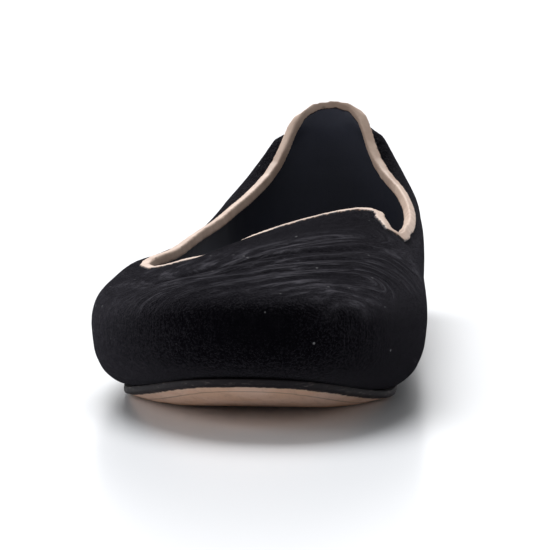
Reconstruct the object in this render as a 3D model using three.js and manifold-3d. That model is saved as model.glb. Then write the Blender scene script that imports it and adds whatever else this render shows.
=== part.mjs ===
// A woman's velvet slipper loafer for the right foot, about EU size 38, in millimetres.
// +Z is up, the toe points along -Y and +X is the inner side of the foot.
// Five pieces: a hollow upper lasted under at the bottom, the leather binding round its opening,
// an insole, a thin leather outsole with toe spring, and a low heel.
import * as THREE from "three";
import { mergeVertices } from "three/addons/utils/BufferGeometryUtils.js";
import Module from "manifold-3d";

const wasm = await Module();
wasm.setup();

// Driving dimensions.
const shoeLength = 254;
const ballWidth = 87;
const wallThickness = 2;
const soleThickness = 2.6;
const heelHeight = 9.9;
const heelLength = 56;
const insoleThickness = 2;
const marginWidth = 8; // upper turned under the foot and glued to the sole
const bindingWidth = 2.7;
const bindingProud = 0.4; // how far the binding stands off each face of the wall
const clearance = 0.3; // between pieces that touch

const outer = -1; // the little-toe side, -X
const inner = 1; // the big-toe side, +X

// One row for each cross-section, measured from the back of the heel.
//   at      distance forward from the back of the heel
//   lift    height of the sole's underside above the floor
//   outerHalf, innerHalf   half widths at the widest line, as shares of half the ball width
//   swing   sideways shift of the last's centre line, + towards the inner side
//   wide    height of the widest line above the sole
//   ridge   height of the top of the closed section; the opening is cut out of it behind the throat
//   lean    sideways place of that ridge, + towards the inner side
//   slant   sideways slope of the section, + where the inner side is the higher
//   outerBow, innerBow     exponent of each side's curve up to the ridge: 2 is an ellipse, more is squarer
//   inset   how far the sole's edge lies inside the widest line
//   tuck    width of the curve by which the wall turns in under the foot
const sections = [
  { at: 0, lift: 9.9, outerHalf: 0.71, innerHalf: 0.67, swing: 1, wide: 11, ridge: 42, lean: 1, slant: 0, outerBow: 2.2, innerBow: 2.5, inset: 3.5, tuck: 8 },
  { at: 15, lift: 9.9, outerHalf: 0.71, innerHalf: 0.66, swing: 1, wide: 11, ridge: 41.9, lean: 1, slant: 0.03, outerBow: 2.65, innerBow: 3, inset: 3.5, tuck: 8 },
  { at: 30, lift: 9.9, outerHalf: 0.71, innerHalf: 0.66, swing: 1, wide: 11, ridge: 39.9, lean: 1, slant: 0.05, outerBow: 2.95, innerBow: 3.6, inset: 3.5, tuck: 8 },
  { at: 60, lift: 9.6, outerHalf: 0.72, innerHalf: 0.735, swing: 0.5, wide: 11.5, ridge: 36.6, lean: 1, slant: 0.1, outerBow: 3.15, innerBow: 4, inset: 4.5, tuck: 9 },
  { at: 90, lift: 6.6, outerHalf: 0.74, innerHalf: 0.8, swing: 0, wide: 13, ridge: 37.5, lean: 1, slant: 0.18, outerBow: 3.3, innerBow: 4, inset: 6, tuck: 10.5 },
  { at: 120, lift: 2.2, outerHalf: 0.86, innerHalf: 0.855, swing: -0.5, wide: 15, ridge: 38, lean: 1, slant: 0.27, outerBow: 3.3, innerBow: 3.8, inset: 6.8, tuck: 11.5 },
  { at: 148, lift: 0.1, outerHalf: 0.95, innerHalf: 0.905, swing: -0.5, wide: 16, ridge: 39.5, lean: 1, slant: 0.29, outerBow: 3.5, innerBow: 3.5, inset: 7.3, tuck: 12 },
  { at: 172, lift: 0, outerHalf: 1, innerHalf: 0.97, swing: -1, wide: 16, ridge: 37, lean: 1, slant: 0.2, outerBow: 3.2, innerBow: 3, inset: 7.5, tuck: 12 },
  { at: 195, lift: 0.3, outerHalf: 1, innerHalf: 1, swing: -1, wide: 15.7, ridge: 36, lean: 1, slant: 0.12, outerBow: 2.9, innerBow: 2.8, inset: 8, tuck: 12 },
  { at: 215, lift: 3.4, outerHalf: 0.99, innerHalf: 0.99, swing: -0.5, wide: 13.4, ridge: 35, lean: 1, slant: 0.06, outerBow: 2.7, innerBow: 2.7, inset: 9.5, tuck: 11.5 },
  { at: 235, lift: 7.6, outerHalf: 0.98, innerHalf: 0.98, swing: 1, wide: 12.4, ridge: 35.5, lean: 2, slant: 0, outerBow: 2.6, innerBow: 2.6, inset: 9, tuck: 10.5 },
  { at: 254, lift: 12, outerHalf: 0.97, innerHalf: 0.97, swing: 2, wide: 13.6, ridge: 38, lean: 3, slant: 0, outerBow: 2.5, innerBow: 2.5, inset: 5.5, tuck: 9.5 },
];

// Round ends: of the widest line seen from above, and of the ridge seen from the side.
const heelRound = { length: 32, power: 2.2 };
const toeRound = { length: 74, power: 2.25 };
const heelRise = { length: 9, power: 2.6 };
const toeRise = { length: 28, power: 2.2 };

// The back of the collar rises to a peak, which falls away forward.
const heelPeak = { height: 21.5, from: 4, width: 9.6, power: 1.43 };
const peakReach = 30; // how far forward the peak still shows

// The edge of the opening seen from above. The collar's points lie on a smooth curve, from the
// outer notch round the back of the heel to the inner notch; the throat's are joined straight.
const collar = [
  { across: -34, at: 158 },
  { across: -33.6, at: 147 },
  { across: -31, at: 125 },
  { across: -28.3, at: 100 },
  { across: -26, at: 80 },
  { across: -23.3, at: 55 },
  { across: -20.2, at: 42 },
  { across: -17, at: 28.5 },
  { across: -12.4, at: 16.5 },
  { across: -9.2, at: 9.6 },
  { across: -6.2, at: 6.8 },
  { across: 1, at: 5.4 },
  { across: 7.4, at: 6.8 },
  { across: 10.4, at: 9.6 },
  { across: 14, at: 16.4 },
  { across: 19.2, at: 26 },
  { across: 23.6, at: 36 },
  { across: 27.2, at: 53 },
  { across: 30, at: 80 },
  { across: 31.8, at: 105 },
  { across: 33, at: 135 },
  { across: 33.6, at: 151 },
];
const throat = [
  { name: "inner notch, foot", across: 32.8, at: 158.5 },
  { name: "inner notch, foot's end", across: 31.2, at: 158.8 },
  { name: "inner notch, tongue side", across: 28.6, at: 153 },
  { name: "tongue, inner corner", across: 28, at: 147.6 },
  { name: "tongue, inner corner end", across: 24, at: 145 },
  { name: "tongue, inner quarter", across: 12, at: 143.9 },
  { name: "tongue, middle", across: 1, at: 143.5 },
  { name: "tongue, outer quarter", across: -8, at: 146 },
  { name: "tongue, outer corner end", across: -16.5, at: 152.5 },
  { name: "tongue, outer corner", across: -21.5, at: 158 },
  { name: "outer notch, tongue side", across: -25.6, at: 162.6 },
  { name: "outer notch, foot's end", across: -29.2, at: 164.6 },
  { name: "outer notch, foot", across: -31.4, at: 164.2 },
];
const collarSteps = 68;
const normalPasses = 4; // evens out the turn of the edge's normals

const sideColumns = 45; // from the back of the heel to the tip of the toe
const columns = 2 * sideColumns;
const tuckRows = 4;
const faceRows = 13;
const faceCrowding = 1.15; // above 1, the rows crowd towards the widest line
const spine = { from: 26, to: 214 }; // the columns from both sides meet on this stretch of the ridge

// A smooth curve through one named value of a table, by the row's at.
function through(rows, key) {
  const slope = rows.map((row, i) => {
    const before = rows[Math.max(i - 1, 0)];
    const after = rows[Math.min(i + 1, rows.length - 1)];
    return (after[key] - before[key]) / (after.at - before.at);
  });
  return (at) => {
    const place = THREE.MathUtils.clamp(at, rows[0].at, rows[rows.length - 1].at);
    let i = 0;
    while (i < rows.length - 2 && place > rows[i + 1].at) i += 1;
    const span = rows[i + 1].at - rows[i].at;
    const t = (place - rows[i].at) / span;
    const ease = t * t * (3 - 2 * t);
    const bend = span * (slope[i] * t * (1 - t) ** 2 - slope[i + 1] * t * t * (1 - t));
    return rows[i][key] * (1 - ease) + rows[i + 1][key] * ease + bend;
  };
}

const last = {};
for (const key of Object.keys(sections[0])) last[key] = through(sections, key);

// Share of the full size left in a rounded end, a distance in from its tip.
function roundEnd(fromTip, end) {
  if (fromTip >= end.length) return 1;
  const left = 1 - Math.max(fromTip, 0) / end.length;
  return (1 - left ** end.power) ** (1 / end.power);
}

const soleUnder = (at) => Math.max(last.lift(at), 0);
const soleTop = (at) => soleUnder(at) + soleThickness;
const footUnder = (at) => soleTop(at) + clearance; // underside of the upper
const wideHeight = (at) => footUnder(at) + last.wide(at);

// Half width of the upper at its widest line.
function halfWidth(at, side) {
  const share = side === outer ? last.outerHalf(at) : last.innerHalf(at);
  return (ballWidth / 2) * share * roundEnd(at, heelRound) * roundEnd(shoeLength - at, toeRound);
}

// Height of the outside of the upper over a point of the plan.
function faceHeight(across, at) {
  const side = across < last.lean(at) ? outer : inner;
  const reach = Math.abs(last.swing(at) + side * halfWidth(at, side) - last.lean(at));
  const share = Math.min(Math.abs(across - last.lean(at)) / Math.max(reach, 1e-6), 1);
  const ends = roundEnd(at, heelRise) * roundEnd(shoeLength - at, toeRise);
  const bow = side === outer ? last.outerBow(at) : last.innerBow(at);
  const peak = heelPeak.height * Math.exp(-((Math.max(at - heelPeak.from, 0) / heelPeak.width) ** heelPeak.power));
  const rise = (last.ridge(at) + peak - wideHeight(at)) * ends;
  const tilt = last.slant(at) * (across - last.lean(at)) * (1 - share ** 4) * ends;
  return wideHeight(at) + rise * (1 - share ** bow) ** (1 / bow) + tilt;
}

const plan = (across, at) => new THREE.Vector2(across, at);
const toSpace = (point, height) => new THREE.Vector3(point.x, shoeLength / 2 - point.y, height);

// The widest line of one side from heel to toe, in plan, as evenly spaced columns.
function widestLine(side) {
  const steps = 1200;
  const fine = [];
  for (let k = 0; k <= steps; k += 1) {
    const at = (shoeLength * (1 - Math.cos((Math.PI * k) / steps))) / 2;
    fine.push(plan(last.swing(at) + side * halfWidth(at, side), at));
  }
  const run = [0];
  for (let k = 1; k < fine.length; k += 1) run.push(run[k - 1] + fine[k].distanceTo(fine[k - 1]));
  const line = [];
  let k = 1;
  for (let c = 0; c <= sideColumns; c += 1) {
    const wanted = (run[steps] * c) / sideColumns;
    while (k < steps && run[k] < wanted) k += 1;
    line.push(fine[k - 1].clone().lerp(fine[k], (wanted - run[k - 1]) / (run[k] - run[k - 1])));
  }
  return line;
}

// Column 0 is the back of the heel; the columns run along the outer side to the toe and back.
const outerLine = widestLine(outer);
const innerLine = widestLine(inner);
const widest = [...outerLine, ...innerLine.slice(1, -1).reverse()];

// Unit vector in plan from a column's widest point towards the inside of the shoe.
const inward = widest.map((_, c) => {
  const along = widest[(c + 1) % columns].clone().sub(widest[(c + columns - 1) % columns]);
  return plan(along.y, -along.x).normalize();
});

// The curve by which the wall turns in under the foot, in a column's own plane.
function tuckCurve(at) {
  const fullness = 0.35; // less is rounder, more is squarer at the featherline
  const tuck = last.tuck(at);
  const wide = last.wide(at);
  return new THREE.CubicBezierCurve(plan(tuck, 0), plan(tuck * fullness, 0), plan(0, wide * fullness), plan(0, wide));
}

// Outside of the last, one list of points for each column: margin, turn, then up to the ridge.
const lastSkin = widest.map((start, c) => {
  const curve = tuckCurve(start.y);
  const tuck = last.tuck(start.y);
  const turn = [plan(tuck + marginWidth, 0)];
  for (let k = 0; k < tuckRows; k += 1) turn.push(curve.getPoint(k / tuckRows));
  const column = turn.map((point) => {
    const place = start.clone().addScaledVector(inward[c], point.x);
    const floor = THREE.MathUtils.lerp(footUnder(start.y), footUnder(place.y), Math.min(point.x / tuck, 1));
    return toSpace(place, floor + point.y);
  });
  const level = (start.y + widest[(columns - c) % columns].y) / 2;
  const at = THREE.MathUtils.lerp(spine.from, spine.to, level / shoeLength);
  const end = plan(last.lean(at), at);
  for (let k = 0; k <= faceRows; k += 1) {
    const turned = (Math.PI / 2) * (k / faceRows);
    const place = start.clone().lerp(end, (1 - Math.cos(turned)) ** faceCrowding);
    column.push(toSpace(place, faceHeight(place.x, place.y)));
  }
  return column;
});

// Outward normals of the skin, whose columns close on themselves and meet along the ridge.
const skinNormals = lastSkin.map((column, c) =>
  column.map((point, r) => {
    const ridgeEnd = r + 1 === column.length && c % sideColumns === 0;
    const level = ridgeEnd ? r - 1 : r;
    const opposite = lastSkin[(columns - c) % columns];
    const above = r + 1 < column.length ? column[r + 1] : opposite[r - 1];
    const up = (ridgeEnd ? point : above).clone().sub(column[Math.max(r - 1, 0)]);
    const along = lastSkin[(c + 1) % columns][level].clone().sub(lastSkin[(c + columns - 1) % columns][level]);
    return along.cross(up).normalize();
  }),
);

// Height of the inside of a wall under the face: how high a ball as large as the wall can rise.
function insideHeight(point, wall) {
  const turns = 16;
  const shares = [0.4, 0.75, 0.95]; // of the ball's radius
  let height = faceHeight(point.x, shoeLength / 2 - point.y) - wall;
  for (const share of shares) {
    for (let turn = 0; turn < turns; turn += 1) {
      const angle = (2 * Math.PI * turn) / turns;
      const across = point.x + wall * share * Math.cos(angle);
      const at = shoeLength / 2 - point.y + wall * share * Math.sin(angle);
      height = Math.min(height, faceHeight(across, at) - wall * Math.sqrt(1 - share ** 2));
    }
  }
  return height;
}

// The skin moved out or in along its normals, as rings from the margin to the ridge. Where the heel's
// peak is thinner than two walls, the inner skin stays below it.
function skinRings(distance) {
  return lastSkin[0].map((_, r) =>
    lastSkin.map((column, c) => {
      const moved = column[r].clone().addScaledVector(skinNormals[c][r], distance);
      const inPeak = distance < 0 && r > tuckRows + 1 && moved.y > shoeLength / 2 - peakReach;
      if (inPeak) moved.z = Math.min(moved.z, insideHeight(moved, -distance));
      return moved;
    }),
  );
}

// Triangles between rings of points, listed from the top down and turning left seen from above.
function ringSides(rings) {
  const count = rings[0].length;
  const index = [];
  for (let k = 0; k < rings.length - 1; k += 1) {
    for (let c = 0; c < count; c += 1) {
      const a = k * count + c;
      const b = k * count + ((c + 1) % count);
      const d = a + count;
      const e = b + count;
      index.push(a, d, b, b, d, e);
    }
  }
  return index;
}

function meshOf(rings, index) {
  const positions = rings.flat().flatMap((point) => [point.x, point.y, point.z]);
  const geometry = new THREE.BufferGeometry();
  geometry.setAttribute("position", new THREE.Float32BufferAttribute(positions, 3));
  geometry.setIndex(index);
  return welded(geometry);
}

// A closed body from rings whose first and last one are closed up or meet.
const ringBody = (rings) => meshOf(rings, ringSides(rings));

// A closed body from rings whose first and last one are filled.
function cappedBody(rings) {
  const start = (rings.length - 1) * rings[0].length;
  const fill = (ring) => THREE.ShapeUtils.triangulateShape(ring.map((point) => plan(point.x, point.y)), []);
  const top = fill(rings[0]).flat();
  const bottom = fill(rings[rings.length - 1]).flatMap(([a, b, d]) => [a + start, d + start, b + start]);
  return meshOf(rings, [...ringSides(rings), ...top, ...bottom]);
}

// The same geometry with its equal points joined and its empty triangles left out.
function welded(geometry) {
  const bare = geometry.clone();
  bare.deleteAttribute("normal");
  bare.deleteAttribute("uv");
  const merged = mergeVertices(bare, 1e-3);
  const corners = merged.index.array;
  const kept = [];
  for (let k = 0; k < corners.length; k += 3) {
    const [a, b, d] = [corners[k], corners[k + 1], corners[k + 2]];
    if (a !== b && b !== d && d !== a) kept.push(a, b, d);
  }
  merged.setIndex(kept);
  return merged;
}

function toSolid(geometry) {
  return new wasm.Manifold(
    new wasm.Mesh({
      numProp: 3,
      vertProperties: new Float32Array(geometry.attributes.position.array),
      triVerts: new Uint32Array(geometry.index.array),
    }),
  );
}

// The largest body of a solid; slivers left beside a cut are dropped.
function toGeometry(solid) {
  const [body] = solid.decompose().sort((a, b) => b.volume() - a.volume());
  const mesh = body.getMesh();
  const geometry = new THREE.BufferGeometry();
  geometry.setAttribute("position", new THREE.Float32BufferAttribute(mesh.vertProperties, 3));
  geometry.setIndex(Array.from(mesh.triVerts));
  geometry.computeVertexNormals();
  return geometry;
}

// A hollow shell of the last between two offsets from its skin, open under the foot.
function shell(outside, inside) {
  return toSolid(ringBody([...skinRings(outside).reverse(), ...skinRings(inside)]));
}

// Outward normal of the face over a point of the plan.
function faceNormal(point) {
  const step = 0.4;
  const height = (x, y) => faceHeight(x, shoeLength / 2 - y);
  const slopeX = (height(point.x + step, point.y) - height(point.x - step, point.y)) / (2 * step);
  const slopeY = (height(point.x, point.y + step) - height(point.x, point.y - step)) / (2 * step);
  return new THREE.Vector3(-slopeX, -slopeY, 1).normalize();
}

// The edge of the opening on the outside of the upper, one place after the other and seen from
// above turning left: its point, its normal, and the direction away from the opening.
function openingEdge() {
  const inPlan = (row) => plan(row.across, shoeLength / 2 - row.at);
  const onFace = (spot) => new THREE.Vector3(spot.x, spot.y, faceHeight(spot.x, shoeLength / 2 - spot.y));
  const inSpace = new THREE.SplineCurve(collar.map(inPlan)).getPoints(4 * collarSteps).map(onFace);
  const collarLine = new THREE.CatmullRomCurve3(inSpace).getSpacedPoints(collarSteps);
  const points = [...collarLine, ...throat.map(inPlan).map(onFace)].reverse();
  const count = points.length;
  let normals = points.map(faceNormal);
  for (let pass = 0; pass < normalPasses; pass += 1) {
    normals = normals.map((normal, k) => {
      const beside = normals[(k + count - 1) % count].clone().add(normals[(k + 1) % count]);
      return normal.clone().multiplyScalar(2).add(beside).normalize();
    });
  }
  return points.map((point, k) => {
    const first = point.clone().sub(points[(k + count - 1) % count]).normalize();
    const second = points[(k + 1) % count].clone().sub(point).normalize();
    const along = first.clone().add(second).normalize();
    const normal = normals[k];
    const away = along.clone().cross(normal).normalize();
    return { point, normal, away: away.multiplyScalar(1 / Math.max(along.dot(first), 0.5)) };
  });
}

const edge = openingEdge();
const sky = 90; // above everything

// What is cut away for the opening, grown by one distance into the upper and deeper by another. Its
// sides stand square to the face through the wall; below it they go back to the edge and straight down.
function opening(grown, deeper = 0) {
  const over = 3;
  const depth = wallThickness + bindingProud + clearance + deeper;
  const drop = 12;
  const moved = (out, height) => (rim) =>
    rim.point.clone().addScaledVector(rim.away, out).addScaledVector(rim.normal, height);
  const outside = edge.map(moved(grown, over));
  const inside = edge.map(moved(grown, -depth));
  const ledge = edge.map(moved(0, -depth));
  const top = outside.map((point) => new THREE.Vector3(point.x, point.y, sky));
  const bottom = ledge.map((point) => new THREE.Vector3(point.x, point.y, point.z - drop));
  return toSolid(cappedBody(grown > 0 ? [top, outside, inside, ledge, bottom] : [top, outside, inside, bottom]));
}

function upperBody() {
  return toGeometry(shell(0, -wallThickness).subtract(opening(bindingWidth + clearance, clearance)));
}

// The binding: a strip folded over the edge, cut from the upper's own faces.
function bindingBody() {
  const band = opening(bindingWidth).subtract(opening(0));
  return toGeometry(shell(bindingProud, -wallThickness - bindingProud).intersect(band));
}

// A loop of plan points moved in from the widest line.
const insetLoop = (insetOf) => widest.map((point, c) => point.clone().addScaledVector(inward[c], insetOf(point.y)));

// Rings between a loop and its middle line, each at a height that follows its place.
function fillRings(loop, shares, heightOf) {
  return shares.map((share) =>
    loop.map((point, c) => {
      const middle = point.clone().add(loop[(columns - c) % columns]).multiplyScalar(0.5);
      const place = point.clone().lerp(middle, share);
      return toSpace(place, heightOf(place.y));
    }),
  );
}

// The sole thins towards its edge, except over the heel, and its underside bulges in front of the
// ball: by distance in from the edge, how much the underside rises and its share of the bulge.
const soleBevel = [
  { within: 0, rise: 0.7, share: 0 },
  { within: 2.5, rise: 0.5, share: 0.3 },
  { within: 6, rise: 0.2, share: 0.75 },
  { within: 11, rise: 0, share: 1 },
];
const fullBevel = 100; // distance forward at which the whole bevel is reached
const bulge = [
  { at: 186, depth: 0 },
  { at: 206, depth: 2 },
  { at: 230, depth: 2 },
  { at: 254, depth: 0.6 },
];

function outsoleBody() {
  const round = 0.4;
  const bareSole = (at) => THREE.MathUtils.smoothstep(at, heelLength, fullBevel);
  const bulgeDepth = through(bulge, "depth");
  const underHeight = (at, { rise, share }) => Math.max(soleUnder(at) + rise * bareSole(at) - share * bulgeDepth(at), 0);
  const edgeLoop = insetLoop(last.inset);
  const topLoop = insetLoop((at) => last.inset(at) + round);
  const underLoops = soleBevel.map(({ within }) => insetLoop((at) => last.inset(at) + round + within));
  const inmost = soleBevel.length - 1;
  return ringBody([
    ...fillRings(topLoop, [1, 0], soleTop),
    ...fillRings(edgeLoop, [0], (at) => soleTop(at) - round),
    ...fillRings(edgeLoop, [0], (at) => underHeight(at, soleBevel[0]) + round),
    ...soleBevel.flatMap((row, k) => fillRings(underLoops[k], [0], (at) => underHeight(at, row))),
    ...fillRings(underLoops[inmost], [1], (at) => underHeight(at, soleBevel[inmost])),
  ]);
}

// Plan distance from the widest line in to the lining, at a height above the lining's floor.
function liningInset(at, height) {
  const curve = tuckCurve(at);
  const steps = 60;
  for (let k = steps; k >= 0; k -= 1) {
    const point = curve.getPoint(k / steps);
    const tangent = curve.getTangent(k / steps);
    const lining = plan(point.x + wallThickness * tangent.y, point.y - wallThickness * tangent.x);
    if (lining.y <= wallThickness + height) return lining.x;
  }
  return last.tuck(at);
}

function insoleBody() {
  const gap = { side: 1.5, toe: 3.9, from: 205 }; // to the lining, wider towards the toe
  const bevel = 0.6;
  const floor = (at) => footUnder(at) + wallThickness + clearance;
  const gapAt = (at) => THREE.MathUtils.lerp(gap.side, gap.toe, THREE.MathUtils.smoothstep(at, gap.from, shoeLength));
  const low = insetLoop((at) => liningInset(at, clearance) + gapAt(at) + bevel);
  const side = insetLoop((at) => liningInset(at, insoleThickness * 0.5) + gapAt(at));
  return ringBody([
    ...fillRings(side, [1, 0.5, 0], (at) => floor(at) + insoleThickness),
    ...fillRings(side, [0], (at) => floor(at) + insoleThickness * 0.6),
    ...fillRings(low, [0, 0.5, 1], floor),
  ]);
}

// The heel: the sole's outline behind a curved breast, standing on the floor.
function heelBody() {
  const bevel = 0.5;
  const underSole = 0.2; // how far the heel's side lies inside the sole's edge
  const breastCurve = 6;
  const loop = insetLoop((at) => last.inset(at) + underSole + bevel);
  const outline = [];
  for (let c = sideColumns + 1; c < columns; c += 1) outline.push(loop[c]);
  for (let c = 0; c <= sideColumns; c += 1) outline.push(loop[c]);
  const kept = outline.filter((point) => point.y < heelLength);
  const shape = new THREE.Shape(kept.map((point) => plan(point.x, -point.y)));
  const start = kept[0];
  const end = kept[kept.length - 1];
  shape.quadraticCurveTo((start.x + end.x) / 2, breastCurve - start.y, start.x, -start.y);
  const geometry = new THREE.ExtrudeGeometry(shape, {
    depth: heelHeight - clearance - 2 * bevel,
    bevelThickness: bevel,
    bevelSize: bevel,
    bevelSegments: 1,
    curveSegments: 8,
  });
  geometry.translate(0, shoeLength / 2, bevel);
  return geometry;
}

const velvet = new THREE.MeshStandardMaterial({ color: 0x17161b, roughness: 0.95, metalness: 0 });
const bindingLeather = new THREE.MeshStandardMaterial({ color: 0xcfa98c, roughness: 0.55, metalness: 0 });
const sockLeather = new THREE.MeshStandardMaterial({ color: 0x1b1c22, roughness: 0.6, metalness: 0 });
const soleLeather = new THREE.MeshStandardMaterial({ color: 0xa57f69, roughness: 0.7, metalness: 0 });
const heelLeather = new THREE.MeshStandardMaterial({ color: 0x1d1a1a, roughness: 0.6, metalness: 0 });

const shoe = new THREE.Group();
function add(name, geometry, material) {
  const mesh = new THREE.Mesh(geometry, material);
  mesh.name = name;
  shoe.add(mesh);
}
add("upper", upperBody(), velvet);
add("topline_binding", bindingBody(), bindingLeather);
add("insole", insoleBody(), sockLeather);
add("outsole", outsoleBody(), soleLeather);
add("heel", heelBody(), heelLeather);

// The origin is on the floor, under the middle of the shoe's box.
const middle = new THREE.Box3().setFromObject(shoe, true).getCenter(new THREE.Vector3());
shoe.position.set(-middle.x, -middle.y, 0);

export default shoe;
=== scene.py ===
import math

import bpy
import numpy as np
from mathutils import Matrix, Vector
from mathutils.kdtree import KDTree


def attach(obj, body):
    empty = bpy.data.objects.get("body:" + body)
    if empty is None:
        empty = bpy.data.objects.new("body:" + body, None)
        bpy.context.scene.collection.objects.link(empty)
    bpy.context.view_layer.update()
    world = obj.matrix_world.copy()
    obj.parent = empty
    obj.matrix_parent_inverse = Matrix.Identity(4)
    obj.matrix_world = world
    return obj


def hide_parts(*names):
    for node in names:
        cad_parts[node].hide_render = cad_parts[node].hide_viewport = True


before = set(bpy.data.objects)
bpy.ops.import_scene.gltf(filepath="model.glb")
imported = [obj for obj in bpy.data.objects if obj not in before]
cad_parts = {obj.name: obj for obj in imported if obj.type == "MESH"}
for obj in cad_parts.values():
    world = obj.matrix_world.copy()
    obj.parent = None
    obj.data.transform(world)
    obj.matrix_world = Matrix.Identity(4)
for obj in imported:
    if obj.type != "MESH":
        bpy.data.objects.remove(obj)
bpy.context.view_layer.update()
mm = 0.001

# Camera first: in front of the toe, a little to the inner side and above, as in the photo.
cameraSetup = {
    "place": (0.1186, -1.1769, 0.1742),
    "aim": (0.001, -0.030, 0.0275),
    "lens": 285.0,
}


def addCamera(setup):
    place = Vector(setup["place"])
    aim = Vector(setup["aim"])
    bpy.ops.object.camera_add(location=place)
    camera = bpy.context.object
    camera.name = "photoCamera"
    camera.data.lens = setup["lens"]
    camera.data.clip_start = 0.05
    camera.data.clip_end = 20
    camera.rotation_mode = "QUATERNION"
    camera.rotation_quaternion = (aim - place).to_track_quat("-Z", "Y")
    bpy.context.scene.camera = camera


addCamera(cameraSetup)
print("camera placed")


# Shader maths: a Wire is one socket, and sums and products of wires add the nodes that work them out.
class Wire:
    def __init__(self, tree, socket=None):
        self.tree = tree
        self.socket = socket

    def node(self, kind, settings=None, values=None, out=0):
        made = self.tree.nodes.new("ShaderNode" + kind)
        for name, value in (settings or {}).items():
            setattr(made, name, value)
        for key, value in (values or {}).items():
            if isinstance(value, Wire):
                self.tree.links.new(value.socket, made.inputs[key])
            else:
                made.inputs[key].default_value = value
        return Wire(self.tree, made.outputs[out])

    def maths(self, operation, *terms, clamp=False):
        settings = {"operation": operation, "use_clamp": clamp}
        return self.node("Math", settings, dict(enumerate(terms)))

    def __add__(self, other):
        return self.maths("ADD", self, other)

    def __radd__(self, other):
        return self.maths("ADD", other, self)

    def __sub__(self, other):
        return self.maths("SUBTRACT", self, other)

    def __rsub__(self, other):
        return self.maths("SUBTRACT", other, self)

    def __mul__(self, other):
        return self.maths("MULTIPLY", self, other)

    def __rmul__(self, other):
        return self.maths("MULTIPLY", other, self)

    def clamped(self):
        return self.maths("ADD", self, 0.0, clamp=True)

    def ramp(self, low, high):
        values = {"Value": self, "From Min": low, "From Max": high}
        return self.node("MapRange", {"interpolation_type": "SMOOTHSTEP"}, values)

    def hump(self, centre, width):
        return 1 - self.maths("ABSOLUTE", self - centre).ramp(0.0, width)


# A material with one Principled surface; its own steady values are set on the sockets themselves.
class Finish:
    def __init__(self, name, steady):
        self.material = bpy.data.materials.new(name)
        self.material.use_nodes = True
        self.tree = self.material.node_tree
        self.surface = self.tree.nodes["Principled BSDF"]
        for socket, value in steady.items():
            self.surface.inputs[socket].default_value = value
        self.wire = Wire(self.tree)
        place = self.wire.node("TexCoord", out=3)
        scaled = {"Vector": place, "Scale": (1 / mm, 1 / mm, 1 / mm)}
        self.place = self.wire.node("Mapping", None, scaled)
        self.x = self.wire.node("SeparateXYZ", None, {0: self.place}, 0)
        self.y = self.wire.node("SeparateXYZ", None, {0: self.place}, 1)
        self.z = self.wire.node("SeparateXYZ", None, {0: self.place}, 2)

    def stretched(self, scale, place=None):
        return self.wire.node("Mapping", None, {"Vector": place or self.place, "Scale": scale})

    def noise(self, scale, detail=3.0, roughness=0.55, stretch=(1, 1, 1), place=None):
        values = {
            "Vector": self.stretched(stretch, place),
            "Scale": scale,
            "Detail": detail,
            "Roughness": roughness,
        }
        return self.wire.node("TexNoise", None, values)

    def cells(self, scale):
        values = {"Vector": self.place, "Scale": scale}
        return self.wire.node("TexVoronoi", {"feature": "F1"}, values)

    def colour(self, value):
        return (*value, 1.0)

    def mix(self, factor, first, second):
        values = {0: factor}
        for key, shade in ((6, first), (7, second)):
            values[key] = shade if isinstance(shade, Wire) else self.colour(shade)
        settings = {"data_type": "RGBA", "clamp_factor": True}
        return self.wire.node("Mix", settings, values, 2)

    def value(self, name):
        return self.wire.node("Attribute", {"attribute_name": name}, None, 2)

    def vector(self, x, y, z=0.0):
        return self.wire.node("CombineXYZ", None, {"X": x, "Y": y, "Z": z})

    def farFrom(self, spot):
        placed = {0: self.place, 1: spot}
        return self.wire.node("VectorMath", {"operation": "DISTANCE"}, placed, 1)

    def facing(self, axis):
        normal = self.wire.node("NewGeometry", out=1)
        return self.wire.node("SeparateXYZ", None, {0: normal}, axis)

    def feed(self, socket, wire):
        self.tree.links.new(wire.socket, self.surface.inputs[socket])

    def bump(self, height, distance, strength=1.0):
        values = {"Height": height, "Distance": distance, "Strength": strength}
        self.feed("Normal", self.wire.node("Bump", None, values))


# Selecting and editing, as by hand.
def pickOnly(piece):
    bpy.ops.object.select_all(action="DESELECT")
    piece.select_set(True)
    bpy.context.view_layer.objects.active = piece


def copyOfNode(nodeName, pieceName):
    piece = bpy.data.objects.new(pieceName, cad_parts[nodeName].data.copy())
    piece.data.name = pieceName
    piece.data.materials.clear()
    bpy.context.scene.collection.objects.link(piece)
    pickOnly(piece)
    bpy.ops.object.mode_set(mode="EDIT")
    bpy.ops.mesh.select_all(action="SELECT")
    bpy.ops.mesh.remove_doubles(threshold=0.002 * mm)
    bpy.ops.object.mode_set(mode="OBJECT")
    return piece


def applyModifier(piece, kind, **settings):
    pickOnly(piece)
    modifier = piece.modifiers.new(kind.lower(), kind)
    for name, value in settings.items():
        setattr(modifier, name, value)
    bpy.ops.object.modifier_apply(modifier=modifier.name)


def points(piece):
    flat = np.empty(3 * len(piece.data.vertices), dtype=np.float32)
    piece.data.vertices.foreach_get("co", flat)
    return flat.reshape(-1, 3)


def movePoints(piece, moved):
    piece.data.vertices.foreach_set("co", np.ascontiguousarray(moved, dtype=np.float32).ravel())
    piece.data.update()


def normalsOf(piece):
    flat = np.empty(3 * len(piece.data.vertices), dtype=np.float32)
    piece.data.vertices.foreach_get("normal", flat)
    return flat.reshape(-1, 3)


def storeValue(piece, name, values):
    layer = piece.data.attributes.new(name, "FLOAT", "POINT")
    layer.data.foreach_set("value", np.ascontiguousarray(values, dtype=np.float32))


# For each place the nearest of some others, and how far off it is in millimetres.
def nearest(places, others):
    tree = KDTree(len(others))
    for index, place in enumerate(others):
        tree.insert(place, index)
    tree.balance()
    found = [tree.find(place) for place in places]
    return np.array([spot[0] for spot in found]), np.array([spot[2] for spot in found]) / mm


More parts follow.
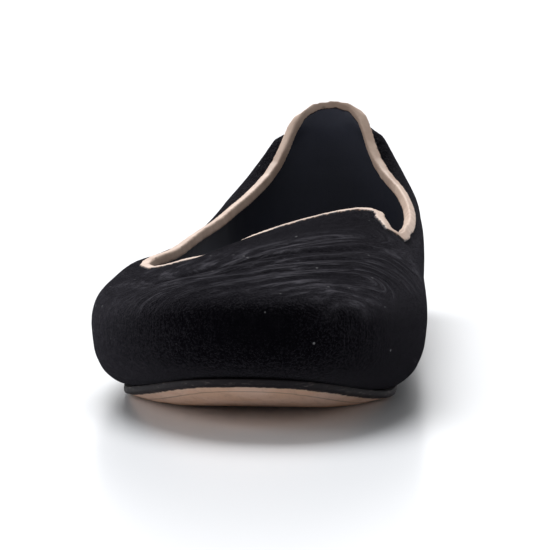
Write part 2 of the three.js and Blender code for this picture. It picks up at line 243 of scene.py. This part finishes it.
def smoothStep(values, low, high):
    share = np.clip((values - low) / (high - low), 0, 1)
    return share * share * (3 - 2 * share)


# Evens out facets and keeps the size: what the smoothing takes away goes back, smoothed itself.
def evenOut(piece, rounds, weights=None):
    group = piece.vertex_groups.new(name="evened")
    levels = np.ones(len(piece.data.vertices)) if weights is None else np.round(weights, 1)
    for level in np.unique(levels):
        group.add(np.flatnonzero(levels == level).tolist(), float(level), "REPLACE")
    before = points(piece)
    applyModifier(piece, "SMOOTH", factor=0.5, iterations=rounds, vertex_group="evened")
    smoothed = points(piece)
    movePoints(piece, before - smoothed)
    applyModifier(piece, "SMOOTH", factor=0.5, iterations=rounds, vertex_group="evened")
    movePoints(piece, smoothed + points(piece))
    piece.vertex_groups.clear()


def finishPiece(piece, finish, replaced=()):
    piece.data.materials.append(finish.material)
    pickOnly(piece)
    bpy.ops.object.shade_smooth()
    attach(piece, "root")
    if replaced:
        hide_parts(*replaced)


edgeAngle = math.radians(32)  # leather edges sharper than this stay sharp in the shading


# The binding: pale leather folded over the edge of the opening.
bindingBuild = {
    "voxel": 0.42 * mm,
    "fineRounds": 2,
    "rounds": 8,
    "throat": (-26.0, -14.0),  # it sinks in fully in front of the first and not behind the second
    "amid": (16.0, 24.0),  # distances from the middle line between which the sinking fades out
    "outerPart": (-9.0, 6.0),  # sideways places between which the extra sinking fades out
    "sunk": 0.35,  # how far it sinks into the pile along the throat
    "sunkMore": 0.9,  # and more towards the outer side
    "rimBand": (0.25, 1.0),  # distances from the velvet between which its dark rim fades out
}
bindingLook = {
    "pale": (0.62, 0.475, 0.385),
    "tan": (0.46, 0.33, 0.26),
    "edge": (0.12, 0.06, 0.042),
    "nap": (0.006, 0.005, 0.008),
    "joint": (0.0, 123.0, 59.4),  # where the strip's ends meet, at the back
    "jointSize": (0.5, 1.3),
}


def bindingFinish(look):
    binding = Finish("pipingLeather", {"Roughness": 0.55, "Specular IOR Level": 0.35})
    patch = binding.noise(0.12, 4.0).ramp(0.3, 0.75)
    tone = binding.mix(patch, look["tan"], look["pale"])
    rim = binding.value("rim")
    fray = binding.noise(1.3, 4.0, 0.7)
    tone = binding.mix((rim + fray * 0.5).ramp(0.6, 1.15) * 0.8, tone, look["edge"])
    tone = binding.mix((rim + fray * 0.6).ramp(1.1, 1.25), tone, look["nap"])
    nick = 1 - binding.farFrom(look["joint"]).ramp(*look["jointSize"])
    binding.feed("Base Color", binding.mix(nick * 0.9, tone, look["nap"]))
    grain = binding.noise(2.2, 5.0, 0.6)
    binding.bump(grain * 0.7 + fray * 0.3, 0.16 * mm, 0.5)
    return binding


def buildBinding(build, finish):
    binding = copyOfNode("topline_binding", "piping")
    applyModifier(binding, "REMESH", mode="VOXEL", voxel_size=build["voxel"])
    applyModifier(binding, "SMOOTH", factor=0.5, iterations=build["fineRounds"])
    evenOut(binding, build["rounds"])
    places = points(binding)
    inFront = 1 - smoothStep(places[:, 1] / mm, *build["throat"])
    amid = 1 - smoothStep(np.abs(places[:, 0]) / mm, *build["amid"])
    outerPart = 1 - smoothStep(places[:, 0] / mm, *build["outerPart"])
    places[:, 2] -= (build["sunk"] + build["sunkMore"] * outerPart) * mm * inFront * amid
    movePoints(binding, places)
    finishPiece(binding, finish, ("topline_binding",))
    return binding


binding = buildBinding(bindingBuild, bindingFinish(bindingLook))
print("binding built", len(binding.data.polygons))


# The upper: black velvet, crushed across the vamp, with the crush's sheen and the light on its outer side and
# top painted into its colour.
backSeamAt = 1.0  # sideways place of the seam up the back
velvetLook = {
    "deep": (0.0022, 0.0020, 0.0031),
    # painted sheen: the colour that the crushed pile's sheen is painted in
    "crushedSheen": (0.135, 0.130, 0.150),
    "lint": (0.25, 0.25, 0.26),
    "seam": (0.0008, 0.0008, 0.001),
    "seamWidth": 0.7,
    "seamFrom": (112.0, 118.0),
    "vampFront": (-126.0, -112.0),  # each pair: the places between which the effect sets in
    "vampBack": (-50.0, -34.0),
    "top": (25.0, 33.0),
    # painted light: the outer side and the top are painted lighter, as where the lamp from the outer side and
    # the light from above fall
    "paintedOuterLight": (-40.0, -12.0),
    "topLight": (26.0, 36.0),
}
velvetBuild = {
    "voxel": 0.88 * mm,
    "rounds": 38,
    "fineRounds": 4,
    "edgeBand": (2.0, 8.0),  # from the binding, where the smoothing sets in
    "drawn": (1.5, 3.6),  # from the binding, how far the edge is drawn up to it
    "seam": -0.1,  # gap left between cloth and binding: the cloth goes in under it a little
    "pile": 0.32,  # height of the pile over the cloth
    "pileOn": (0.0, 0.4),  # outwardness between which the pile sets in
    "seamWidth": 1.1,  # the seam up the back, where the pile is pinched in
    "seamDepth": 0.6,
    "seamFrom": (110, 116),
    "creaseCrest": 0.5,  # height of the ridges beside a crease, as a share of its depth
    "crestAt": 1.9,  # distance of those ridges from the trough, in widths of the crease
    "creaseEnds": 0.6,  # smaller keeps a crease deep closer to its ends
    "creaseFace": (-0.1, 0.3),  # upward share of the face's direction at which creases set in
    "vampEnd": -36,
    "streakWay": (0.8, 0.6),  # the way the crushed streaks run, sideways and lengthwise, in the bumps and in the painted sheen
    "streakBlend": 4,  # larger blends the creases' courses more widely
}
# Creases across the vamp, from the outer side to the inner side: places in millimetres on the face.
creases = [
    {
        "line": [(-14, -81, 34), (-7, -63, 35), (0, -50, 36), (8, -47, 38), (24, -47, 38)],
        "width": 1.6,
        "depth": 0.35,
    },
    {
        "line": [
            (-29, -93, 30), (-15, -80, 33), (-7, -73, 35), (-1, -66, 36),
            (6, -62, 37), (20, -63, 38), (34, -54, 36),
        ],
        "width": 2.0,
        "depth": 0.85,
    },
    {
        "line": [(-16, -92, 33), (2, -76, 35), (12, -74, 36), (22, -72, 36), (32, -66, 35)],
        "width": 1.5,
        "depth": 0.6,
    },
    {
        "line": [(-19, -115, 31), (-10, -108, 34), (-2, -97, 35), (5, -87, 35), (15, -83, 36), (26, -78, 36)],
        "width": 2.1,
        "depth": 0.75,
    },
    {
        "line": [(-14, -121, 30), (-5, -118, 33), (4, -109, 35), (13, -97, 35), (22, -91, 35), (29, -86, 34)],
        "width": 2.2,
        "depth": 0.5,
    },
]


def velvetFinish(look):
    steady = {
        "Roughness": 1.0,
        "Specular IOR Level": 0.0,
        "Sheen Weight": 0.14,
        "Sheen Roughness": 0.34,
        "Sheen Tint": (0.55, 0.53, 0.62, 1.0),
    }
    velvet = Finish("velvet", steady)
    alongCreases = velvet.vector(velvet.value("run"), velvet.value("rank"))
    broad = velvet.noise(1.0, 3.0, 0.6, (0.035, 1.1, 1.0), alongCreases)
    fine = velvet.noise(1.0, 4.0, 0.75, (0.09, 6.5, 1.0), alongCreases)
    onVamp = velvet.y.ramp(*look["vampFront"]) * (1 - velvet.y.ramp(*look["vampBack"]))
    onTop = velvet.z.ramp(*look["top"])
    crease = velvet.value("crease")
    # painted sheen: the crushed streaks on top of the vamp are painted lighter, a little lighter still on the
    # creases' ridges and darker in their troughs as painted shade
    crushSheen = (broad * 0.3 + fine * 0.7 + crease * 0.1).ramp(0.47, 0.72) * onVamp * onTop
    mottle = velvet.noise(0.45, 5.0, 0.8).ramp(0.42, 0.75)
    grain = velvet.noise(1.5, 4.0, 0.8).ramp(0.48, 0.72)
    pile = velvet.noise(1.2, 3.0, 0.65, (1.0, 1.0, 0.09)).ramp(0.5, 0.8)
    # painted light: the mottle and grain are painted lighter towards the outer side and the top, where the
    # light falls
    paintedOuterLight = 1 - velvet.x.ramp(*look["paintedOuterLight"])
    topLight = velvet.z.ramp(*look["topLight"])
    lit = 0.015 + paintedOuterLight * 0.3 + topLight * 0.15
    shade = (crushSheen * 0.6 + (mottle * 0.45 + grain * 0.7) * lit + pile * 0.015).clamped()
    tone = velvet.mix(shade, look["deep"], look["crushedSheen"])
    specks = 1 - velvet.cells(0.14).ramp(0.03, 0.06)
    backSeam = velvet.x.hump(backSeamAt, look["seamWidth"]) * velvet.y.ramp(*look["seamFrom"])
    tone = velvet.mix(backSeam * 0.8, tone, look["seam"])
    velvet.feed("Base Color", velvet.mix(specks * 0.7, tone, look["lint"]))
    fuzz = velvet.noise(3.2, 3.0, 0.7)
    height = fuzz * 0.3 + pile * 0.15 + (fine * 1.7 + broad * 1.2) * onTop * onVamp + grain * 0.25
    velvet.bump(height, 0.9 * mm, 0.9)
    return velvet


# How far each direction points away from the middle of the shoe, from -1 inwards to 1 outwards.
shoeAxis = {"front": -0.095, "back": 0.095, "height": 0.018}


def outwardness(places, directions):
    axis = places * (0, 1, 0)
    axis[:, 1] = np.clip(axis[:, 1], shoeAxis["front"], shoeAxis["back"])
    axis[:, 2] = shoeAxis["height"]
    arms = places - axis
    reach = np.linalg.norm(arms, axis=1)
    return np.einsum("ij,ij->i", directions, arms) / np.maximum(reach, 0.001)


# Distance from each place to a line of points, and how far along the line it is.
def besideLine(places, line):
    spots = np.array(line, dtype=float)
    runs = np.linalg.norm(np.diff(spots, axis=0), axis=1)
    starts = np.concatenate([[0], np.cumsum(runs)])
    distance = np.full(len(places), np.inf)
    along = np.zeros(len(places))
    for index, run in enumerate(runs):
        way = (spots[index + 1] - spots[index]) / run
        reached = (places - spots[index]) @ way
        held = np.clip(reached, 0, run)
        away = np.linalg.norm(places - spots[index] - held[:, None] * way, axis=1)
        closer = away < distance
        distance[closer] = away[closer]
        along[closer] = starts[index] + held[closer]
    return distance, along, starts[-1]


# Presses the creases into the outer face, each a soft trough with a lower ridge on both sides, and
# keeps for the finish where each place lies along and across them.
def pressCreases(piece, build, lines):
    places = points(piece) / mm
    outward = normalsOf(piece)
    onFace = smoothStep(outward[:, 2], *build["creaseFace"]) * (places[:, 1] < build["vampEnd"])
    way = build["streakWay"]
    felt = np.zeros(len(places))
    lift = np.zeros(len(places))
    run = np.zeros(len(places))
    rank = np.zeros(len(places))
    total = np.zeros(len(places))
    for order, crease in enumerate(lines):
        distance, along, length = besideLine(places, crease["line"])
        ends = np.sin(np.pi * along / length) ** build["creaseEnds"]
        wide = distance / crease["width"]
        trough = np.exp(-(wide**2))
        ridge = build["creaseCrest"] * np.exp(-((wide - build["crestAt"]) ** 2))
        lift += crease["depth"] * ends * onFace * (ridge - trough)
        felt += ends * onFace * (ridge - trough)
        weight = 1 / (distance**2 + build["streakBlend"])
        run += weight * (places[:, 0] * way[0] + places[:, 1] * way[1])
        rank += weight * order
        total += weight
    movePoints(piece, (places + outward * lift[:, None]) * mm)
    storeValue(piece, "crease", felt)
    storeValue(piece, "run", run / total)
    storeValue(piece, "rank", rank / total)


# Draws the edge of the cloth up to the binding.
def drawToBinding(piece, build, target):
    places = points(piece)
    spots, gap = nearest(places, target)
    pull = (1 - smoothStep(gap, *build["drawn"])) * (gap - build["seam"])
    away = (spots - places) / np.maximum(gap, 0.001)[:, None]
    movePoints(piece, places + away * pull[:, None])


def raisePile(piece, build):
    outward = normalsOf(piece)
    places = points(piece)
    outside = smoothStep(outwardness(places, outward), *build["pileOn"])
    beside = np.abs(places[:, 0] / mm - backSeamAt)
    atBack = smoothStep(places[:, 1] / mm, *build["seamFrom"])
    groove = build["seamDepth"] * np.exp(-((beside / build["seamWidth"]) ** 2)) * atBack
    lift = (build["pile"] - groove) * outside
    movePoints(piece, places + outward * (lift * mm)[:, None])


def buildUpper(build, finish, lines, target):
    upper = copyOfNode("upper", "velvetUpper")
    applyModifier(upper, "REMESH", mode="VOXEL", voxel_size=build["voxel"])
    applyModifier(upper, "SMOOTH", factor=0.5, iterations=build["fineRounds"])
    gap = nearest(points(upper), target)[1]
    evenOut(upper, build["rounds"], smoothStep(gap, *build["edgeBand"]))
    pressCreases(upper, build, lines)
    raisePile(upper, build)
    drawToBinding(upper, build, target)
    finishPiece(upper, finish, ("upper",))
    return upper


velvet = velvetFinish(velvetLook)
upper = buildUpper(velvetBuild, velvet, creases, points(binding))
velvetGap = nearest(points(binding), points(upper))[1]
storeValue(binding, "rim", 1 - smoothStep(velvetGap, *bindingBuild["rimBand"]))
print("upper built", len(upper.data.polygons))


# The lining: smooth dark leather on the inside of the upper.
liningBuild = {
    "thickness": 0.25 * mm,
    "facing": -0.02,  # outwardness above which a face of the upper isn't lined
}
liningLook = {
    "dark": (0.014, 0.0165, 0.029),
    "worn": (0.020, 0.023, 0.040),
}


def liningFinish(look):
    steady = {"Roughness": 0.62, "Specular IOR Level": 0.35, "Sheen Weight": 0.15}
    lining = Finish("lining", steady)
    patch = lining.noise(0.05, 3.0).ramp(0.35, 0.7)
    lining.feed("Base Color", lining.mix(patch, look["dark"], look["worn"]))
    lining.bump(lining.noise(1.8, 4.0), 0.12 * mm, 0.35)
    return lining


def buildLining(build, source, finish):
    pickOnly(source)
    bpy.ops.object.duplicate()
    lining = bpy.context.object
    lining.name = "lining"
    lining.data.name = "lining"
    for key in list(lining.keys()):
        del lining[key]
    lining.data.materials.clear()
    mesh = lining.data
    count = len(mesh.polygons)
    centres = np.empty(3 * count, dtype=np.float32)
    normals = np.empty(3 * count, dtype=np.float32)
    mesh.polygons.foreach_get("center", centres)
    mesh.polygons.foreach_get("normal", normals)
    facing = outwardness(centres.reshape(-1, 3), normals.reshape(-1, 3))
    mesh.polygons.foreach_set("select", facing > build["facing"])
    pickOnly(lining)
    bpy.ops.object.mode_set(mode="EDIT")
    bpy.context.tool_settings.mesh_select_mode = (False, False, True)
    bpy.ops.mesh.delete(type="FACE")
    bpy.ops.object.mode_set(mode="OBJECT")
    applyModifier(lining, "SOLIDIFY", thickness=build["thickness"], offset=1.0)
    finishPiece(lining, finish)
    return lining


lining = buildLining(liningBuild, upper, liningFinish(liningLook))
print("lining built", len(lining.data.polygons))


# The insole, the sole and the heel.
insoleLook = {
    "dark": (0.010, 0.011, 0.016),
    "worn": (0.022, 0.023, 0.031),
}


def insoleFinish(look):
    insole = Finish("sockLeather", {"Roughness": 0.6, "Specular IOR Level": 0.35})
    patch = insole.noise(0.06, 3.0).ramp(0.35, 0.7)
    insole.feed("Base Color", insole.mix(patch, look["dark"], look["worn"]))
    insole.bump(insole.noise(1.6, 4.0), 0.1 * mm, 0.4)
    return insole


soleLook = {
    "tan": (0.80, 0.57, 0.45),
    "scuffsAndGrooveShade": (0.26, 0.17, 0.13),
    "orange": (0.72, 0.46, 0.31),
    "dye": (0.013, 0.011, 0.013),
    "rubbed": (0.15, 0.13, 0.12),
    "dyedRim": (1.7, 2.3),  # distance from the rim where the edge's dye ends, raggedly
    "grooveAt": 4.4,  # the groove of the seam, from the rim, and its half width
    "grooveWidth": 0.5,
}


def soleFinish(look):
    sole = Finish("soleLeather", {"Roughness": 0.7, "Specular IOR Level": 0.15})
    inset = sole.value("inset")
    ragged = sole.noise(0.5, 3.0, 0.6)
    under = (inset + ragged * 1.6).ramp(*look["dyedRim"]) * (-1 * sole.facing(2)).ramp(0.2, 0.5)
    scuff = sole.noise(0.45, 5.0, 0.7, (1.0, 0.2, 1.0)).ramp(0.45, 0.75)
    patch = sole.noise(0.06, 3.0).ramp(0.42, 0.62)
    tan = sole.mix(patch * 0.6, look["tan"], look["orange"])
    tan = sole.mix(scuff * 0.25, tan, look["scuffsAndGrooveShade"])
    groove = inset.hump(look["grooveAt"], look["grooveWidth"])
    # painted shade: the seam's groove is painted darker, in the same dark brown as the scuffs
    tan = sole.mix(groove * 0.55, tan, look["scuffsAndGrooveShade"])
    rub = sole.noise(0.6, 5.0, 0.75, (0.3, 0.3, 1.6)).ramp(0.52, 0.68)
    edge = sole.mix(rub * 0.45, look["dye"], look["rubbed"])
    sole.feed("Base Color", sole.mix(under, edge, tan))
    sole.bump(sole.noise(1.2, 5.0, 0.65) * 0.6 + scuff * -0.2 - groove * 0.6, 0.3 * mm, 0.5)
    return sole


soleBuild = {
    "rounds": 6,
    "steep": 0.5,  # upward share of the direction under which a face belongs to the rim
}
heelBuild = {
    "lifts": (2.3, 4.7, 7.1),  # heights of the seams between the stacked layers
    "groove": 0.16,  # half width and depth of each seam
    "seamReach": 0.02,  # points this close to a seam's height are pressed in
    "bevel": 0.25 * mm,
    "bevelSteps": 2,
    "bevelAngle": 0.5,
}
heelLook = {
    "dark": (0.011, 0.009, 0.009),
    "rubbed": (0.07, 0.055, 0.046),
    "tread": (0.012, 0.012, 0.013),
    "dust": (0.16, 0.145, 0.13),
    "dustHeight": 1.6,
}


def heelFinish(look, treadTop):
    heel = Finish("heelLeather", {"Roughness": 0.5, "Specular IOR Level": 0.22})
    rub = heel.noise(0.5, 4.0, 0.7).ramp(0.5, 0.7)
    fibres = heel.noise(1.0, 4.0, 0.7, (0.25, 0.25, 3.0))
    tone = heel.mix(rub * 0.35 + fibres * 0.25, look["dark"], look["rubbed"])
    treadPiece = 1 - heel.z.ramp(treadTop - 0.1, treadTop + 0.1)
    tone = heel.mix(treadPiece * 0.7, tone, look["tread"])
    dust = (1 - heel.z.ramp(0.0, look["dustHeight"])) * heel.noise(0.4, 4.0, 0.7).ramp(0.45, 0.65)
    heel.feed("Base Color", heel.mix(dust * 0.25, tone, look["dust"]))
    heel.bump(fibres * 0.6 + rub * 0.4, 0.15 * mm, 0.5)
    return heel


def buildInsole(finish):
    insole = copyOfNode("insole", "sock")
    applyModifier(insole, "SUBSURF", levels=1, render_levels=1)
    finishPiece(insole, finish, ("insole",))


def buildSole(build, finish):
    sole = copyOfNode("outsole", "leatherSole")
    applyModifier(sole, "SUBSURF", subdivision_type="SIMPLE", levels=2, render_levels=2)
    evenOut(sole, build["rounds"])
    places = points(sole)
    flat = places * (1, 1, 0)
    rim = flat[np.abs(normalsOf(sole)[:, 2]) < build["steep"]]
    storeValue(sole, "inset", nearest(flat, rim)[1])
    finishPiece(sole, finish, ("outsole",))
    bpy.ops.object.shade_smooth_by_angle(angle=edgeAngle)


def buildHeel(build, finish):
    heel = copyOfNode("heel", "heelBlock")
    bevel = {"width": build["bevel"], "segments": build["bevelSteps"]}
    applyModifier(heel, "BEVEL", limit_method="ANGLE", angle_limit=build["bevelAngle"], **bevel)
    bpy.ops.object.mode_set(mode="EDIT")
    for lift in build["lifts"]:
        for height in (lift - build["groove"], lift, lift + build["groove"]):
            bpy.ops.mesh.select_all(action="SELECT")
            bpy.ops.mesh.bisect(plane_co=(0, 0, height * mm), plane_no=(0, 0, 1))
    bpy.ops.object.mode_set(mode="OBJECT")
    places = points(heel)
    fromSeam = np.min([np.abs(places[:, 2] / mm - lift) for lift in build["lifts"]], axis=0)
    atSeam = fromSeam < build["seamReach"]
    inwards = normalsOf(heel) * (1, 1, 0) * (build["groove"] * mm)
    places[atSeam] -= inwards[atSeam]
    movePoints(heel, places)
    finishPiece(heel, finish, ("heel",))
    bpy.ops.object.shade_smooth_by_angle(angle=edgeAngle)


buildInsole(insoleFinish(insoleLook))
buildSole(soleBuild, soleFinish(soleLook))
buildHeel(heelBuild, heelFinish(heelLook, heelBuild["lifts"][0]))
print("insole, sole and heel built")


# Floor and lights: a wide pale floor, a broad sun from behind and a soft lamp from the outer side.
stageSetup = {
    "floorSize": 14.0,
    "floorColour": (0.87, 0.885, 0.915),
    "floorRoughness": 0.25,
    "worldLight": 1.0,
    "scattered": 0.29,  # share of the world's light that reaches dull surfaces
}
lamps = [
    {"name": "skylight", "kind": "SUN", "place": (-0.3, 0.85, 1.2), "size": math.radians(36), "power": 3.6},
    {"name": "leftSoft", "kind": "AREA", "place": (-1.2, -0.3, 0.6), "size": 0.9, "power": 5},
]


def buildStage(setup):
    bpy.ops.mesh.primitive_plane_add(size=setup["floorSize"], location=(0, 0, 0))
    floor = bpy.context.object
    floor.name = "floor"
    finish = Finish("paleFloor", {"Roughness": setup["floorRoughness"], "Specular IOR Level": 0.35})
    finish.surface.inputs["Base Color"].default_value = finish.colour(setup["floorColour"])
    floor.data.materials.append(finish.material)
    world = bpy.data.worlds.new("studio")
    world.use_nodes = True
    background = world.node_tree.nodes["Background"]
    background.inputs["Color"].default_value = (1, 1, 1, 1)
    scattered = Wire(world.node_tree).node("LightPath", out=2)
    strength = setup["worldLight"] - scattered * (setup["worldLight"] - setup["scattered"])
    world.node_tree.links.new(strength.socket, background.inputs["Strength"])
    bpy.context.scene.world = world


def addLamp(name, kind, place, size, power):
    bpy.ops.object.light_add(type=kind, location=place)
    lamp = bpy.context.object
    lamp.name = name
    lamp.data.energy = power
    if kind == "SUN":
        lamp.data.angle = size
    else:
        lamp.data.size = size
    lamp.rotation_mode = "QUATERNION"
    lamp.rotation_quaternion = (-Vector(place)).to_track_quat("-Z", "Y")


buildStage(stageSetup)
for lamp in lamps:
    addLamp(**lamp)
bpy.context.scene.view_settings.view_transform = "Standard"
print("stage and lights set")
